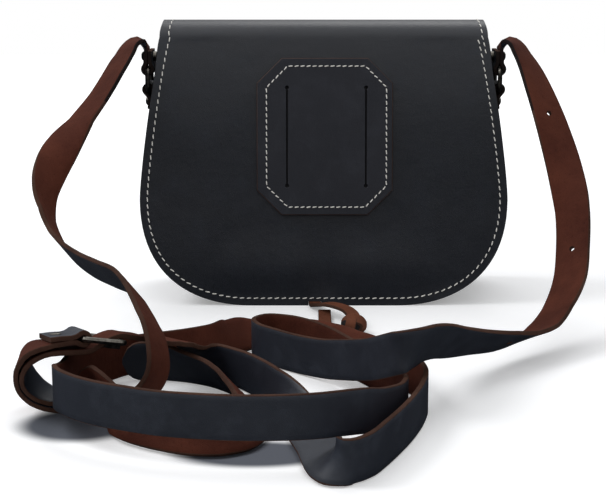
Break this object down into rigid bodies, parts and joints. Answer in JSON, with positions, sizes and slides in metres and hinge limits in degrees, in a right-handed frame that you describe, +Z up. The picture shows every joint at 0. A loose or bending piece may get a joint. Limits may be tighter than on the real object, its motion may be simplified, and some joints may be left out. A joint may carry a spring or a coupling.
{
  "type": "belt bag",
  "caption": "Saddle-shaped leather belt bag with a stitched octagonal belt patch, a flap and a buckled shoulder strap piled in front of it.",
  "frame": {"origin": "on the table under the middle of the bag's depth and width", "axes": "+X along the bag's width, +Y from the back with the belt patch towards the flap's front, +Z up"},
  "size_m": [0.3361, 0.3946, 0.1813],
  "materials": {
    "navy_leather": "waxed, slightly glossy",
    "strap_leather": "navy grain side and brown flesh side",
    "thong_leather": "brown, matt",
    "dark_metal": "blackened with worn edges",
    "thread": "waxed white thread"
  },
  "bodies": {
    "body": {"back_panel": "navy_leather", "front_panel": "navy_leather", "gusset": "navy_leather", "belt_patch": "navy_leather", "left_ring_tab": "navy_leather", "right_ring_tab": "navy_leather", "left_tab_rivet": "dark_metal", "right_tab_rivet": "dark_metal", "closure_stud": "dark_metal", "strap_long": "strap_leather", "strap_short": "strap_leather", "buckle_frame": "dark_metal", "buckle_screw": "dark_metal", "closure_thong": "thong_leather", "closure_thong_tail": "thong_leather", "thong_knot": "thong_leather"},
    "flap": {"flap": "navy_leather"},
    "prong": {"buckle_prong": "dark_metal"},
    "left_ring": {"left_strap_ring": "dark_metal", "left_strap_screw": "dark_metal"},
    "right_ring": {"right_strap_ring": "dark_metal", "right_strap_screw": "dark_metal"}
  },
  "joints": [
    {"name": "flap_open", "type": "hinge", "parent": "body", "child": "flap", "pos_m": [0, -0.0148, 0.1723], "axis": [1, 0, 0], "range_deg": [0, 155]},
    {"name": "buckle_prong_lift", "type": "hinge", "parent": "body", "child": "prong", "pos_m": [-0.1275, -0.245, 0.0388], "axis": [-0.4174, 0.8951, -0.1564], "range_deg": [0, 75], "deforming": ["strap_long", "strap_short"]},
    {"name": "left_ring_swing", "type": "hinge", "parent": "body", "child": "left_ring", "pos_m": [-0.11303, -0.00155, 0.1362], "axis": [0, -1, 0], "range_deg": [-5, 40], "deforming": ["strap_short"]},
    {"name": "right_ring_swing", "type": "hinge", "parent": "body", "child": "right_ring", "pos_m": [0.11303, -0.00155, 0.1362], "axis": [0, 1, 0], "range_deg": [-5, 40], "deforming": ["strap_long"]}
  ]
}
